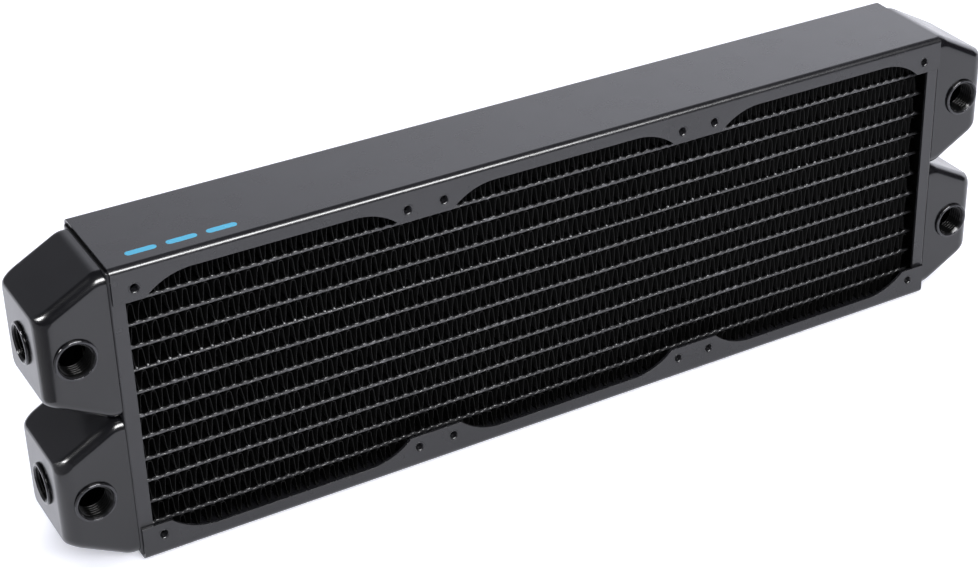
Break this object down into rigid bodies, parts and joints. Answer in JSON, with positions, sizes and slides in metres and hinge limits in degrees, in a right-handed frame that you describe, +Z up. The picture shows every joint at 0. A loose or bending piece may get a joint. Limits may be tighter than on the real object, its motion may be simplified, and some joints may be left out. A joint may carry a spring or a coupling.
{
  "type": "liquid cooling radiator",
  "caption": "Flat computer liquid cooling radiator: finned flat-tube core in scalloped side panels, with a pair of separate ported tanks at each end.",
  "frame": {"origin": "under the middle of the radiator, on the surface it stands on", "axes": "+X along the radiator to its right end, +Y from the front fan face to the rear fan face, +Z up from the lower side panel to the upper one"},
  "size_m": [0.4176, 0.045, 0.123],
  "materials": {
    "panel": "satin black paint",
    "header": "satin black paint",
    "tank": "semi-gloss black paint",
    "port": "threaded brass under gloss black paint",
    "tube": "black paint, bright along the edge",
    "fin": "matte black paint"
  },
  "bodies": {
    "root": {"top_side_panel": "panel", "bottom_side_panel": "panel", "left_header_plate": "header", "right_header_plate": "header", "lower_left_tank": "tank", "lower_left_front_port": "port", "lower_left_rear_port": "port", "lower_left_end_port": "port", "upper_left_tank": "tank", "upper_left_front_port": "port", "upper_left_rear_port": "port", "upper_left_end_port": "port", "lower_right_tank": "tank", "lower_right_front_port": "port", "lower_right_rear_port": "port", "lower_right_end_port": "port", "upper_right_tank": "tank", "upper_right_front_port": "port", "upper_right_rear_port": "port", "upper_right_end_port": "port", "flat_tube_01": "tube", "flat_tube_02": "tube", "flat_tube_03": "tube", "flat_tube_04": "tube", "flat_tube_05": "tube", "flat_tube_06": "tube", "flat_tube_07": "tube", "flat_tube_08": "tube", "flat_tube_09": "tube", "flat_tube_10": "tube", "flat_tube_11": "tube", "flat_tube_12": "tube", "fin_row_01": "fin", "fin_row_02": "fin", "fin_row_03": "fin", "fin_row_04": "fin", "fin_row_05": "fin", "fin_row_06": "fin", "fin_row_07": "fin", "fin_row_08": "fin", "fin_row_09": "fin", "fin_row_10": "fin", "fin_row_11": "fin", "fin_row_12": "fin", "fin_row_13": "fin"}
  },
  "joints": []
}
